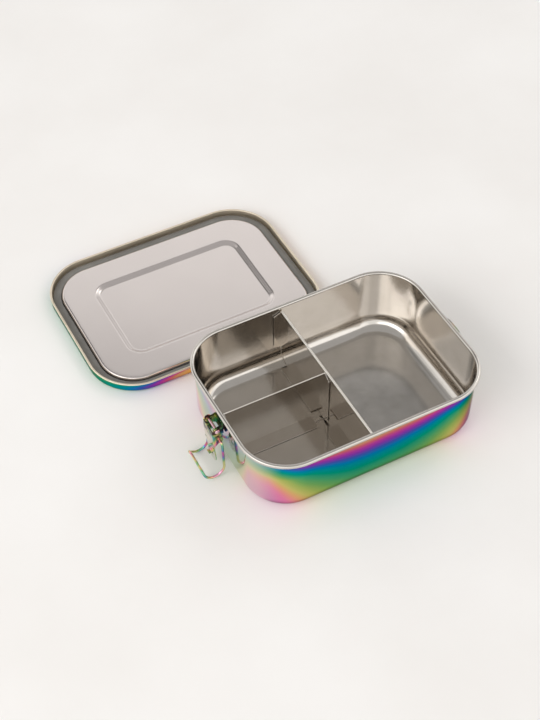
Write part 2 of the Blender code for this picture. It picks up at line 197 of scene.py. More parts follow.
def polished_steel(name, colour, dull_colour, roughness, wobble=0.00005):
    """Bare stainless steel with fine polishing lines, on sheet that is not quite flat."""
    material, shader = new_material(name)
    shader.inputs["Metallic"].default_value = 1.0
    grain = node(material, "TexNoise", {"Vector": place_nodes(material, (60, 60, 1600)), "Scale": 1.0,
                                        "Detail": 3.0, "Roughness": 0.6}).outputs[0]
    broad = node(material, "TexNoise", {"Vector": place_nodes(material, (1, 1, 0.1)),
                                        "Scale": 40.0, "Detail": 1.5}).outputs[0]
    cloud = node(material, "TexNoise", {"Vector": place_nodes(material), "Scale": 70.0,
                                        "Detail": 4.0, "Roughness": 0.65}).outputs[0]
    feed(material, ramp(material, cloud, ((0.32, linear(*dull_colour)), (0.6, linear(*colour)))),
         shader.inputs["Base Color"])
    fine = roughen(material, shader, grain, roughness, 0.03, 0.03, 0.00001)
    sheet = node(material, "Bump", {"Height": broad, "Strength": 1.0, "Distance": wobble,
                                    "Normal": fine}).outputs[0]
    feed(material, sheet, shader.inputs["Normal"])
    return material


# (thickness of the oxide, its colour), from pale gold through violet, blue, green and yellow to pink
rainbow_order = (
    (-0.12, (206, 184, 150)), (0.00, (196, 140, 108)), (0.06, (196, 92, 112)),
    (0.12, (176, 64, 150)), (0.20, (126, 60, 166)), (0.27, (64, 84, 168)),
    (0.34, (24, 116, 174)), (0.41, (4, 138, 152)), (0.50, (14, 146, 122)),
    (0.60, (70, 156, 110)), (0.70, (112, 164, 96)), (0.80, (158, 176, 96)),
    (0.90, (190, 184, 108)), (0.98, (212, 164, 116)), (1.06, (218, 142, 140)),
    (1.15, (214, 126, 166)), (1.30, (196, 124, 170)))
rainbow_first, rainbow_last = rainbow_order[0][0], rainbow_order[-1][0]
coat_strength = 1.2
silver = (232, 224, 214)
tub_steel = polished_steel("tub_bare_steel", (208, 203, 197), (204, 199, 192), 0.14)


def rainbow_colour(material, thickness, paleness, pale=silver):
    """Colour of the oxide coat where it is this thick, mixed with a pale one by paleness."""
    place = node(material, "MapRange", {0: thickness, 1: rainbow_first, 2: rainbow_last})
    span = rainbow_last - rainbow_first
    stops = [((level - rainbow_first) / span,
              [min(coat_strength * part, 1.0) for part in linear(*colour)])
             for level, colour in rainbow_order]
    bands = ramp(material, place.outputs[0], stops)
    mixed = node(material, "Mix", data_type="RGBA")
    feed(material, paleness, mixed.inputs["Factor"])
    feed(material, bands, mixed.inputs[6])
    mixed.inputs[7].default_value = linear(*pale)
    return mixed.outputs[2]


def tub_coat():
    """Bands that run down from the rim and grow thicker at the corners; paler end walls."""
    rim_level, band_height = 0.0505, 0.040
    corner_reach, side_share = 0.088, 2.1
    end_start, end_full, end_paleness = 0.080, 0.099, 0.55
    material, shader = new_material("tub_rainbow_coat")
    shader.inputs["Metallic"].default_value = 1.0
    place = node(material, "TexCoord").outputs["Object"]
    x, y, z = node(material, "SeparateXYZ", {0: place}).outputs
    drift = node(material, "TexNoise", {"Vector": place, "Scale": 14.0, "Detail": 2.0}).outputs[0]
    from_middle = reckon(material, "ABSOLUTE", x)
    along_x = reckon(material, "MULTIPLY", from_middle, 1 / corner_reach)
    along_y = reckon(material, "MULTIPLY", reckon(material, "ABSOLUTE", y),
                     side_share / corner_reach)
    cornered = reckon(material, "SMOOTH_MIN", along_x, along_y, 0.15)
    cornered = reckon(material, "MINIMUM", cornered, 1.0)
    near_corner = reckon(material, "MULTIPLY", reckon(material, "POWER", cornered, 2.6), 0.75)
    below_rim = reckon(material, "DIVIDE", reckon(material, "SUBTRACT", rim_level, z), band_height)
    easing = reckon(material, "MULTIPLY_ADD", below_rim, -0.25, 1.0)
    wall = reckon(material, "MULTIPLY", reckon(material, "MULTIPLY", below_rim, easing), 0.85)
    growth = node(material, "MapRange", {0: z, 1: 0.050, 2: 0.038, 3: 0.6, 4: 1.0}).outputs[0]
    thickness = reckon(material, "MULTIPLY_ADD", near_corner, growth, wall)
    thickness = reckon(material, "MULTIPLY_ADD", drift, 0.10, thickness)
    thickness = reckon(material, "SUBTRACT", thickness, 0.05)
    paleness = node(material, "MapRange", {0: from_middle, 1: end_start, 2: end_full, 3: 0.0,
                                           4: end_paleness}, interpolation_type="SMOOTHSTEP")
    paleness = paleness.outputs[0]
    feed(material, rainbow_colour(material, thickness, paleness), shader.inputs["Base Color"])
    glance = node(material, "MapRange", {0: paleness, 2: 0.4, 3: 0.4, 4: 1.0})
    feed(material, glance.outputs[0], shader.inputs["Specular Tint"])
    grain = node(material, "TexNoise", {"Vector": place_nodes(material, (40, 40, 900)),
                                        "Scale": 1.0, "Detail": 3.0}).outputs[0]
    fine = roughen(material, shader, grain, 0.07, 0.03, 0.06, 0.00001)
    broad = node(material, "TexNoise", {"Vector": place, "Scale": 18.0, "Detail": 1.0}).outputs[0]
    sheet = node(material, "Bump", {"Height": broad, "Strength": 1.0, "Distance": 0.0004,
                                    "Normal": fine}).outputs[0]
    feed(material, sheet, shader.inputs["Normal"])
    return material


foot = 2 * bead_radius - tub_sheet + wall_draft       # inset of the wall's outside at the base
bead_level = tub_high.z - bead_radius
join_turn = -degrees(acos(1 - tub_sheet / bead_radius))  # where the wall runs into the bead
flat_edge = 0.004                                     # flat that runs on past the base radius
tub_turns = 28
tub_section = [(foot + base_radius + flat_edge, 0.0)]
tub_section += arc_points(foot + base_radius, base_radius, base_radius, 270, 180, 16)
tub_section += arc_points(bead_radius, bead_level, bead_radius, join_turn, -360, 28)
tub_section += arc_points(foot + base_radius, base_radius, base_radius - tub_sheet, 180, 270, 16)
tub_section += [(foot + base_radius + flat_edge, tub_sheet)]
tub_shape = carry_round(tub_section, tub_low, tub_high, rim_corner, tub_turns)
close_shape(tub_shape)
for face in tub_shape.faces:
    faces_down = face.normal.z < -0.001
    face.material_index = int(faces_down and face.calc_center_median().z < bead_level - bead_radius)
add_piece("steel_tub", tub_shape, (tub_steel, tub_coat()), "tub", "tub_steel", "tub")


# ---------------------------------------------------------------- Latch brackets
# A small U of sheet steel, its back spot-welded to the short wall. The two ears carry the
# lever's pin. It has the same coat as the tub, with painted shade in dark patches near its top.

latch_sheet = 0.0008
ear_tip = 0.0024
pin_radius = 0.0012
hole_clearance = 0.0003
bracket_fold = 0.0006
broken_edge = 0.00012
drill_length = 0.03
hinge_place = {joint["child"]: Vector(joint["pos_m"]) for joint in frame["joints"]
               if joint["type"] == "hinge"}


def latch_coat(name, first, spread, painted_shade_share, pale_plate=0.0, pale_all=0.0):
    """Rainbow coat on small pieces: tight bands, painted shade near the top; the plate may be pale.
    """
    plate_low, plate_top = 0.038, 0.041
    # Heights over which the painted shade comes in towards the top
    painted_shade_start, painted_shade_full = 0.034, 0.039
    material, shader = new_material(name)
    shader.inputs["Metallic"].default_value = 1.0
    source = node(material, "TexCoord")
    place = source.outputs["Object"]
    drift = node(material, "TexNoise", {"Vector": place, "Scale": 120.0, "Detail": 1.0,
                                        "Roughness": 0.5}).outputs[0]
    # Noise that breaks the painted shade into patches
    depth = node(material, "TexNoise", {"Vector": place, "Scale": 230.0, "Detail": 1.0,
                                        "Roughness": 0.5}).outputs[0]
    height = node(material, "SeparateXYZ", {0: place}).outputs[2]
    facing = node(material, "SeparateXYZ", {0: source.outputs["Normal"]}).outputs[0]
    facing = reckon(material, "ABSOLUTE", facing)
    outwards = node(material, "MapRange", {0: facing, 1: 0.8, 2: 0.95, 4: pale_plate}).outputs[0]
    low = node(material, "MapRange", {0: height, 1: plate_top, 2: plate_low}).outputs[0]
    thickness = reckon(material, "MULTIPLY_ADD", drift, spread, first)
    pale = reckon(material, "MAXIMUM", reckon(material, "MULTIPLY", outwards, low), pale_all)
    colour = rainbow_colour(material, thickness, pale)
    # Painted shade: a near-black colour mixed in, in noise patches, over the top of the piece
    painted_shade_patches = node(material, "MapRange", {0: depth, 1: 0.62, 2: 0.44, 4: painted_shade_share}).outputs[0]
    high = node(material, "MapRange", {0: height, 1: painted_shade_start, 2: painted_shade_full}).outputs[0]
    painted_shade_mix = node(material, "Mix", {7: linear(28, 24, 34)}, data_type="RGBA")
    feed(material, reckon(material, "MULTIPLY", painted_shade_patches, high), painted_shade_mix.inputs["Factor"])
    feed(material, colour, painted_shade_mix.inputs[6])
    feed(material, painted_shade_mix.outputs[2], shader.inputs["Base Color"])
    grain = node(material, "TexNoise", {"Vector": place_nodes(material, (300, 300, 300)),
                                        "Scale": 1.0, "Detail": 2.0}).outputs[0]
    fine = roughen(material, shader, grain, 0.12, 0.04, 0.08, 0.00001)
    feed(material, fine, shader.inputs["Normal"])
    return material


def add_flat(shape, points):
    """Add one flat of a folded sheet by its outline; corners that meet become one."""
    shape.faces.new([shape.verts.new(point) for point in points])
    bmesh.ops.remove_doubles(shape, verts=shape.verts, dist=same_point)


def bend_folds(shape, radius, segments=4):
    """Round the folds between two flats, as bending over a tool does."""
    bmesh.ops.recalc_face_normals(shape, faces=shape.faces)
    folds = [edge for edge in shape.edges if len(edge.link_faces) == 2
             and edge.calc_face_angle(0.0) > radians(20)]
    bmesh.ops.bevel(shape, geom=folds, offset=radius, offset_type='OFFSET', segments=segments,
                    profile=0.5, affect='EDGES', clamp_overlap=True, material=-1)


def with_modifiers(name, shape, thickness, holes, edge_round, segments=2):
    """Thicken a sheet, drill holes along Y and break the sheared edges."""
    mesh = bpy.data.meshes.new(name)
    shape.to_mesh(mesh)
    shape.free()
    blank = bpy.data.objects.new(name + "_blank", mesh)
    bpy.context.scene.collection.objects.link(blank)
    solid = blank.modifiers.new("Thickness", 'SOLIDIFY')
    solid.thickness, solid.offset, solid.use_even_offset = thickness, 0.0, True
    drills = []
    for place, radius in holes:
        tool_shape = bmesh.new()
        bmesh.ops.create_cone(tool_shape, cap_ends=True, segments=32, radius1=radius,
                              radius2=radius, depth=drill_length,
                              matrix=Matrix.Translation(place) @ Matrix.Rotation(pi / 2, 4, 'X'))
        tool_mesh = bpy.data.meshes.new("drill")
        tool_shape.to_mesh(tool_mesh)
        tool_shape.free()
        drills.append(bpy.data.objects.new("drill", tool_mesh))
        bpy.context.scene.collection.objects.link(drills[-1])
        cut = blank.modifiers.new("Hole", 'BOOLEAN')
        cut.operation, cut.solver, cut.object = 'DIFFERENCE', 'EXACT', drills[-1]
    edge = blank.modifiers.new("Edges", 'BEVEL')
    edge.width, edge.segments, edge.limit_method = edge_round, segments, 'ANGLE'
    edge.angle_limit, edge.harden_normals = radians(50), False
    evaluated = blank.evaluated_get(bpy.context.evaluated_depsgraph_get())
    finished = bmesh.new()
    finished.from_mesh(evaluated.to_mesh())
    bmesh.ops.remove_doubles(finished, verts=finished.verts, dist=same_point / 10)
    for item in [blank, *drills]:
        bpy.data.objects.remove(item, do_unlink=True)
    return finished


def half_round(place, radius, start, end, steps):
    """(x, z) points round a place; angles in degrees from +X towards +Z."""
    turns = [radians(start + (end - start) * step / steps) for step in range(steps + 1)]
    return [(place.x + radius * cos(turn), place.z + radius * sin(turn)) for turn in turns]


def mirrored(points, side):
    """Outward distances as X on this side of the tub."""
    return [(side * out, across, up) for out, across, up in points]


# Strong painted shade near the top of the bracket (0.95)
bracket_coat = latch_coat("bracket_coat_painted_shade", -0.2, 1.6, 0.95)
for side, word in ((-1, "left"), (1, "right")):
    low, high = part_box("latch_bracket_" + word)
    back = min(abs(low.x), abs(high.x)) + latch_sheet / 2
    half = high.y - latch_sheet / 2
    pin = hinge_place["lever_" + word]
    pin_out = Vector((abs(pin.x), 0, pin.z))
    tip = half_round(pin_out, ear_tip, 95, -75, 12)
    bracket = bmesh.new()
    add_flat(bracket, mirrored([(back, -half, low.z), (back, half, low.z),
                                (back, half, high.z), (back, -half, high.z)], side))
    for across in (-half, half):
        ear = [(back, low.z), (back, high.z), *tip]
        add_flat(bracket, mirrored([(out, across, up) for out, up in ear], side))
    bend_folds(bracket, bracket_fold)
    bracket = with_modifiers("bracket", bracket, latch_sheet,
                             [(pin, pin_radius + hole_clearance)], broken_edge)
    add_piece("welded_bracket_" + word, bracket, (bracket_coat,), "tub", "latch_steel",
              "latch_bracket_" + word)


# ---------------------------------------------------------------- Latch pins
# A plain steel pin through both ears and both cheeks, riveted over at each end into a
# low domed head.

head = 0.0009
pin_turns = 28
pin_coat = latch_coat("pin_bright_coat", 1.1, 0.2, 0.0, pale_all=0.55)
for word in ("left", "right"):
    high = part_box("latch_pin_" + word)[1]
    pin = hinge_place["lever_" + word]
    head_radius = high.z - pin.z
    reach = high.y - head
    turned = bmesh.new()
    outline = [(0.0, high.y)] + [(head_radius * sin(turn), reach + head * cos(turn))
                                 for turn in (pi / 8, pi / 4, 3 * pi / 8, pi / 2)]
    outline += [(head_radius, reach), (pin_radius, reach), (pin_radius, 0.0)]
    verts = [turned.verts.new((out, across, 0.0)) for out, across in outline]
    chain = [turned.edges.new(pair) for pair in zip(verts, verts[1:])]
    bmesh.ops.spin(turned, geom=verts + chain, cent=(0, 0, 0), axis=(0, 1, 0), angle=2 * pi,
                   steps=pin_turns, use_merge=True)
    bmesh.ops.mirror(turned, geom=turned.verts[:] + turned.edges[:] + turned.faces[:],
                     axis='Y', merge_dist=same_point)
    bmesh.ops.remove_doubles(turned, verts=turned.verts, dist=same_point)
    bmesh.ops.translate(turned, verts=turned.verts, vec=pin)
    close_shape(turned)
    add_piece("riveted_pin_" + word, turned, (pin_coat,), "tub", "latch_steel",
              "latch_pin_" + word)


# ---------------------------------------------------------------- Latch levers
# Pressed from sheet: a plate with two cheeks folded back round the bracket, narrowing to a
# rounded tongue. A small tab for the finger is lanced out of the tongue.

# (how far the plate leans in, height, half width), from top to tip, in millimetres
lever_rows = ((0.0, 45.0, 7.6), (0.0, 40.0, 7.6), (0.7, 31.0, 7.6), (1.1, 27.0, 7.6),
              (1.6, 22.5, 6.3), (2.3, 15.5, 6.3), (2.7, 11.5, 6.2), (3.0, 8.3, 5.4),
              (3.2, 6.2, 3.9), (3.3, 5.2, 2.2))
cheek_rows = 4
tab_row = 5
tab_half = 0.0019
plate_gap = 0.0036                                    # from the pin's middle out to the plate
lever_fold = 0.0007
cheek_radius = 0.0029
wire_radius = 0.001
# (outwards, up) in metres: the tab from its root, the cheek's edge round the pin and to the bail
tab_bends = ((0.0020, -0.0008), (0.0036, -0.0006))
cheek_by_pin = ((0.0016, 0.0027), (-0.0004, 0.0030), (-0.0022, 0.0019), (-0.0028, 0.0),
                (-0.0030, -0.0037))
cheek_by_bail = (-0.0024, 0.0025)
# The lever also gets strong painted shade near its top (0.95), besides its pale plate
lever_coat = latch_coat("lever_rainbow_coat", -0.1, 1.8, 0.95, 0.85, 0.12)
for side, word in ((-1, "left"), (1, "right")):
    cheek_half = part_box("latch_lever_" + word)[1].y - latch_sheet / 2
    pin, bail = hinge_place["lever_" + word], hinge_place["bail_" + word]
    pin_out, bail_out = Vector((abs(pin.x), 0, pin.z)), Vector((abs(bail.x), 0, bail.z))
    plate_out = pin_out.x + plate_gap
    rows = [(plate_out - lean / 1000, up / 1000, wide / 1000) for lean, up, wide in lever_rows]
    last_row, last_column = len(rows) - 1, 3
    lever = bmesh.new()
    bmesh.ops.create_grid(lever, x_segments=last_column, y_segments=last_row, size=0.5)
    window = [face for face in lever.faces
              if abs(face.calc_center_median().x) < 0.25 / last_column
              and int((0.5 - face.calc_center_median().y) * last_row) == tab_row]
    for vert in lever.verts:
        out, up, wide = rows[round((0.5 - vert.co.y) * last_row)]
        inner = min(tab_half, wide / 2)
        across = (-wide, -inner, inner, wide)[round((0.5 + vert.co.x) * last_column)]
        vert.co = (side * out, across, up)
    bmesh.ops.delete(lever, geom=window, context='FACES_ONLY')
    root_out, root_up, _ = rows[tab_row]
    bends = [(root_out, root_up)] + [(root_out + out, root_up + up) for out, up in tab_bends]
    for (out_a, up_a), (out_b, up_b) in zip(bends, bends[1:]):
        add_flat(lever, mirrored([(out_a, -tab_half, up_a), (out_b, -tab_half, up_b),
                                  (out_b, tab_half, up_b), (out_a, tab_half, up_a)], side))
    cheek = [(out, up) for out, up, _ in reversed(rows[:cheek_rows])]
    cheek += [(pin_out.x + out, pin.z + up) for out, up in cheek_by_pin]
    cheek += [(bail_out.x + cheek_by_bail[0], bail.z + cheek_by_bail[1])]
    cheek += half_round(bail_out, cheek_radius, 180, 290, 10)
    for across in (-cheek_half, cheek_half):
        add_flat(lever, mirrored([(out, across, up) for out, up in cheek], side))
    bend_folds(lever, lever_fold)
    lever = with_modifiers("lever", lever, latch_sheet,
                           [(pin, pin_radius + hole_clearance),
                            (bail, wire_radius + hole_clearance)], broken_edge)
    add_piece("pressed_lever_" + word, lever, (lever_coat,), "lever_" + word, "latch_steel",
              "latch_lever_" + word)


# ---------------------------------------------------------------- Wire bails
# One length of 2 mm spring wire. Its ends snap into the lever's cheeks; the legs spread,
# then hook outwards and up into the bar that pulls on the lid's edge.

bail_half = 0.012
bail_spread = 0.014
bail_leg = 0.0234
hook_radius = 0.0085
bail_corner = 0.0075
bail_bend = 0.002
bail_end = 0.002                                      # length of wire inside each cheek
bend_steps = 6
hook_steps = 36


def half_bail():
    """Centre line from the lever to the middle of the bar: (outwards, across, up)."""
    route = [(0.0, cheek_half - bail_end, 0.0)]
    for step in range(bend_steps + 1):
        turn = step / bend_steps * pi / 2
        route.append((0.0, bail_half - bail_bend + bail_bend * sin(turn),
                      -bail_bend + bail_bend * cos(turn)))
    for share in (0.33, 0.66, 1.0):
        route.append((0.0, bail_half + (bail_spread - bail_half) * share, -bail_leg * share
                      - bail_bend * (1 - share)))
    for step in range(1, hook_steps + 1):
        turn = pi * step / hook_steps
        left = pi * hook_radius * (1 - step / hook_steps)
        across = bail_spread
        if left < bail_corner:
            across -= bail_corner * (1 - sqrt(1 - (1 - left / bail_corner) ** 2))
        route.append((hook_radius * (1 - cos(turn)), across, -bail_leg - hook_radius * sin(turn)))
    return route


def wire_coat():
    """Rainbow coat on wire: bands that run along it and change round it."""
    material, shader = new_material("wire_rainbow_coat")
    shader.inputs["Metallic"].default_value = 1.0
    source = node(material, "TexCoord")
    facing = node(material, "SeparateXYZ", {0: source.outputs["Normal"]}).outputs[2]
    drift = node(material, "TexNoise", {"Vector": source.outputs["Object"], "Scale": 90.0,
                                        "Detail": 1.0}).outputs[0]
    thickness = reckon(material, "MULTIPLY_ADD", drift, 2.4, -0.6)
    thickness = reckon(material, "MULTIPLY_ADD", facing, 0.25, thickness)
    pale = reckon(material, "MULTIPLY", drift, 0.4)
    feed(material, rainbow_colour(material, thickness, pale), shader.inputs["Base Color"])
    grain = node(material, "TexNoise", {"Vector": place_nodes(material, (400, 400, 400)),
                                        "Scale": 1.0, "Detail": 2.0}).outputs[0]
    feed(material, roughen(material, shader, grain, 0.10, 0.03, 0.05, 0.00001),
         shader.inputs["Normal"])
    return material


bail_coat = wire_coat()
for side, word in ((-1, "left"), (1, "right")):
    pivot = hinge_place["bail_" + word]
    half_route = half_bail()
    route = half_route + [(out, -across, up) for out, across, up in reversed(half_route[:-1])]
    wire = bpy.data.curves.new("wire", 'CURVE')
    wire.dimensions, wire.bevel_depth, wire.bevel_resolution = '3D', wire_radius, 5
    wire.use_fill_caps = True
    spline = wire.splines.new('POLY')
    spline.points.add(len(route) - 1)
    for point, (out, across, up) in zip(spline.points, route):
        point.co = (pivot.x + side * out, across, pivot.z + up, 1.0)
    guide = bpy.data.objects.new("wire", wire)
    bpy.context.scene.collection.objects.link(guide)
    drawn = bmesh.new()
    drawn.from_mesh(guide.evaluated_get(bpy.context.evaluated_depsgraph_get()).to_mesh())
    bpy.data.objects.remove(guide, do_unlink=True)
    bmesh.ops.remove_doubles(drawn, verts=drawn.verts, dist=same_point)
    bmesh.ops.recalc_face_normals(drawn, faces=drawn.faces)
    add_piece("wire_bail_" + word, drawn, (bail_coat,), "bail_" + word, "latch_steel",
              "latch_bail_" + word)


# ---------------------------------------------------------------- Divider
# Two folded plates of bare sheet, standing loose in the tub as a T. The main plate crosses
# the tub and has a closed hem along its top; the cross plate runs to the left wall.

divider_sheet = 0.0008
flange_chamfer = 0.004
flange_foot = 0.002
fold_level = base_radius + 0.001
wall_clearance = 0.0006
fold_radius = 0.0012
ground_edge = 0.0003
hem_height = 0.0045
hem_thickness = 0.002
hem_cover = 0.0012                                    # height of the hem above the plate in it
hem_rounding = 0.00096
foot_clearance = 0.002
gap_before_cross, gap_behind_cross = 0.004, 0.002
divider_steel = polished_steel("divider_bare_steel", (204, 198, 190), (199, 192, 184), 0.07,
                               wobble=0.00001)


def inner_half(outer_half, height):
    """Half the room between two facing walls of the tub, at this height."""
    rise = (max(height, base_radius) - base_radius) / (tub_high.z - base_radius)
    inset = 2 * bead_radius + wall_draft * (1 - rise)
    inside = base_radius - tub_sheet
    if height < base_radius:
        inset += inside - sqrt(inside ** 2 - (base_radius - height) ** 2)
    return outer_half - inset


def plate_end(outer_half, sign, low_level, steps=10):
    """Edge of a plate that follows the wall, from the floor up to the fold: (place, height)."""
    points = []
    for step in range(steps + 1):
        height = low_level + (fold_level - low_level) * (1 - cos(step / steps * pi / 2))
        room = inner_half(outer_half, height - divider_sheet / 2)
        points.append((sign * (room - wall_clearance - divider_sheet / 2), height))
    return points


# Cut edges and folds: ground, so rougher, and lighter in colour as a painted highlight
edge_steel_painted_highlight = polished_steel("divider_ground_edge_painted_highlight", (240, 235, 228), (234, 228, 220), 0.33)
edge_width = 0.0006


def mark_edges(shape):
    """Give the cut edges and folds, all narrow faces, the second material, whose lighter colour is a
    painted highlight.
    """
    for face in shape.faces:
        width = 2 * face.calc_area() / face.calc_perimeter()
        face.material_index = int(width < edge_width)


def fold_flange(shape, start, end, offset, start_shift=0.0, end_shift=0.0):
    """Fold a flange out from the edge between two corners; its far corners shift in height."""
    near = [min(shape.verts, key=lambda vert: (vert.co - Vector(place)).length)
            for place in (start, end)]
    made = bmesh.ops.extrude_edge_only(shape, edges=[shape.edges.get(near)])["geom"]
    for vert in made:
        if isinstance(vert, bmesh.types.BMVert):
            at_start = (vert.co - Vector(start)).length < (vert.co - Vector(end)).length
            vert.co += Vector(offset) + Vector((0, 0, start_shift if at_start else end_shift))


main_low, main_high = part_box("main_divider")
cross_low, cross_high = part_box("cross_divider")
foot_level = main_low.z + divider_sheet / 2
main_x = main_high.x - hem_thickness + divider_sheet / 2
flange_x = main_low.x + divider_sheet / 2
cross_y = cross_high.y - divider_sheet / 2
flange_y = cross_low.y + divider_sheet / 2
plate_half = main_high.y - divider_sheet / 2
top_edge = main_high.z - flange_chamfer
rear_end = plate_end(tub_high.y, 1, foot_level)
front_end = plate_end(tub_high.y, -1, foot_level)
foot_gap = (flange_y - gap_before_cross, cross_y + gap_behind_cross)
hem_bottom = main_high.z - hem_height

outline = [(main_x, y, z) for y, z in reversed(front_end)]
outline += [(main_x, foot_gap[0], foot_level), (main_x, foot_gap[1], foot_level)]
outline += [(main_x, y, z) for y, z in rear_end]
plate_top = main_high.z - hem_cover
outline += [(main_x, plate_half, plate_top), (main_x, -plate_half, plate_top)]
main_plate = bmesh.new()
add_flat(main_plate, outline)
flange_out = (flange_x - main_x, 0, 0)
for sign, wall in ((1, rear_end[-1][0]), (-1, front_end[-1][0])):
    fold_flange(main_plate, (main_x, wall, fold_level), (main_x, sign * plate_half, plate_top),
                flange_out, flange_foot, top_edge - plate_top)
for start, end in ((front_end[0][0], foot_gap[0]), (foot_gap[1], rear_end[0][0])):
    fold_flange(main_plate, (main_x, start, foot_level), (main_x, end, foot_level), flange_out)
bend_folds(main_plate, fold_radius)
main_plate = with_modifiers("main_plate", main_plate, divider_sheet, [], ground_edge, 4)
hem_middle = main_high.x - hem_thickness / 2
bmesh.ops.create_cube(main_plate, size=1.0, matrix=Matrix.LocRotScale(
    Vector((hem_middle, 0.0, (main_high.z + hem_bottom) / 2)), None,
    Vector((hem_thickness, 2 * plate_half, hem_height))))
main_plate.verts.ensure_lookup_table()
upper_corners = [vert for vert in main_plate.verts[-8:] if vert.co.z > hem_bottom + hem_height / 2]
hem_edges = [edge for edge in main_plate.edges if edge.calc_length() > hem_height
             and all(vert in upper_corners for vert in edge.verts)]
bmesh.ops.bevel(main_plate, geom=hem_edges, offset=hem_rounding, segments=8,
                profile=0.5, affect='EDGES', clamp_overlap=True, material=-1)
mark_edges(main_plate)
add_piece("divider_main_plate", main_plate, (divider_steel, edge_steel_painted_highlight), "divider",
          "divider_steel", "main_divider")

cross_right = cross_high.x - divider_sheet / 2
left_end = plate_end(tub_high.x, -1, foot_level)
top_left = cross_low.x + divider_sheet / 2
foot_right = flange_x - divider_sheet / 2 - foot_clearance
outline = [(x, cross_y, z) for x, z in reversed(left_end)]
outline += [(foot_right, cross_y, foot_level), (cross_right, cross_y, foot_level)]
outline += [(cross_right, cross_y, cross_high.z), (top_left, cross_y, cross_high.z)]
cross_plate = bmesh.new()
add_flat(cross_plate, outline)
flange_out = (0, flange_y - cross_y, 0)
fold_flange(cross_plate, (cross_right, cross_y, foot_level), (cross_right, cross_y, cross_high.z),
            flange_out, flange_foot, top_edge - cross_high.z)
fold_flange(cross_plate, (left_end[-1][0], cross_y, fold_level), (top_left, cross_y, cross_high.z),
            flange_out, flange_foot, top_edge - cross_high.z)
fold_flange(cross_plate, (left_end[0][0], cross_y, foot_level), (foot_right, cross_y, foot_level),
            flange_out)
bend_folds(cross_plate, fold_radius)
cross_plate = with_modifiers("cross_plate", cross_plate, divider_sheet, [], ground_edge, 4)
mark_edges(cross_plate)
add_piece("divider_cross_plate", cross_plate, (divider_steel, edge_steel_painted_highlight), "divider",
          "divider_steel", "cross_divider")


# ---------------------------------------------------------------- Lid
# Pressed from 0.7 mm sheet and lying upside down: a flat panel, sunk in the middle by a
# shallow field, a channel round it for the gasket, and a skirt folded over into a hem.

lid_low, lid_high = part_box("lid_shell")
lid_middle = (lid_low + lid_high) / 2
lid_sheet = 0.0007
lid_corner = 0.040
hem_width = 0.0018
hem_depth = 0.003
skirt_setback = 0.0003
skirt_radius = 0.003
channel_radius = 0.001
panel_inset = 0.0103
panel_level = 0.006
field_half = Vector((0.0673, 0.0441))
field_corner = 0.014
field_slope = 0.0048
field_depth = 0.0018
field_steps = 10
panel_border = 0.002                                  # flat that runs on past the panel's edge
field_border = 0.0006


def lid_steel_satin():
    """Bare steel with the soft, even satin of the lid's inside."""
    material, shader = new_material("lid_satin_steel")
    shader.inputs["Metallic"].default_value = 1.0
    grain = node(material, "TexNoise", {"Vector": place_nodes(material, (2200, 50, 400)),
                                        "Scale": 1.0, "Detail": 3.0}).outputs[0]
    cloud = node(material, "TexNoise", {"Vector": place_nodes(material), "Scale": 20.0,
                                        "Detail": 3.0}).outputs[0]
    feed(material, ramp(material, cloud, ((0.3, linear(216, 208, 205)),
                                          (0.7, linear(220, 212, 209)))),
         shader.inputs["Base Color"])
    fine = roughen(material, shader, grain, 0.21, 0.015, 0.004, 0.00001)
    feed(material, fine, shader.inputs["Normal"])
    return material


def lid_coat():
    """Rainbow coat on the lid's outside: teal at one corner, magenta and orange along a side."""
    gilt_start, skirt_middle, skirt_half = 0.052, 0.0042, 0.0045
    material, shader = new_material("lid_rainbow_coat")
    shader.inputs["Metallic"].default_value = 1.0
    place = node(material, "TexCoord").outputs["Object"]
    x, _, z = node(material, "SeparateXYZ", {0: place}).outputs
    drift = node(material, "TexNoise", {"Vector": place, "Scale": 16.0, "Detail": 2.0}).outputs[0]
    along = reckon(material, "SUBTRACT", lid_low.x + gilt_start, x)
    level = reckon(material, "DIVIDE", reckon(material, "SUBTRACT", z, skirt_middle), skirt_half)
    squared = reckon(material, "MULTIPLY", level, level)
    thickness = reckon(material, "MULTIPLY_ADD", along, 9.0,
                       reckon(material, "MULTIPLY", squared, 0.2))
    thickness = reckon(material, "MULTIPLY_ADD", drift, 0.1, thickness)
    gilt = node(material, "MapRange", {0: thickness, 1: 0.02, 2: -0.14}).outputs[0]
    shader.inputs["Specular Tint"].default_value = (0.5, 0.5, 0.5, 1.0)
    colour = rainbow_colour(material, thickness, gilt, (244, 176, 70))
    feed(material, colour, shader.inputs["Base Color"])
    grain = node(material, "TexNoise", {"Vector": place_nodes(material, (40, 40, 900)),
                                        "Scale": 1.0, "Detail": 3.0}).outputs[0]
    feed(material, roughen(material, shader, grain, 0.10, 0.03, 0.06, 0.00001),
         shader.inputs["Normal"])
    return material


def hem_coat():
    """Thin bronze start of the coat on the folded edge."""
    material, shader = new_material("lid_bronze_hem")
    shader.inputs["Metallic"].default_value = 1.0
    place = node(material, "TexCoord").outputs["Object"]
    tone = node(material, "TexNoise", {"Vector": place, "Scale": 30.0, "Detail": 2.0}).outputs[0]
    feed(material, ramp(material, tone, ((0.35, linear(222, 210, 190)),
                                         (0.65, linear(234, 222, 202)))),
         shader.inputs["Base Color"])
    grain = node(material, "TexNoise", {"Vector": place_nodes(material, (300, 300, 900)),
                                        "Scale": 1.0, "Detail": 2.0}).outputs[0]
    feed(material, roughen(material, shader, grain, 0.48, 0.04, 0.05, 0.00001),
         shader.inputs["Normal"])
    return material


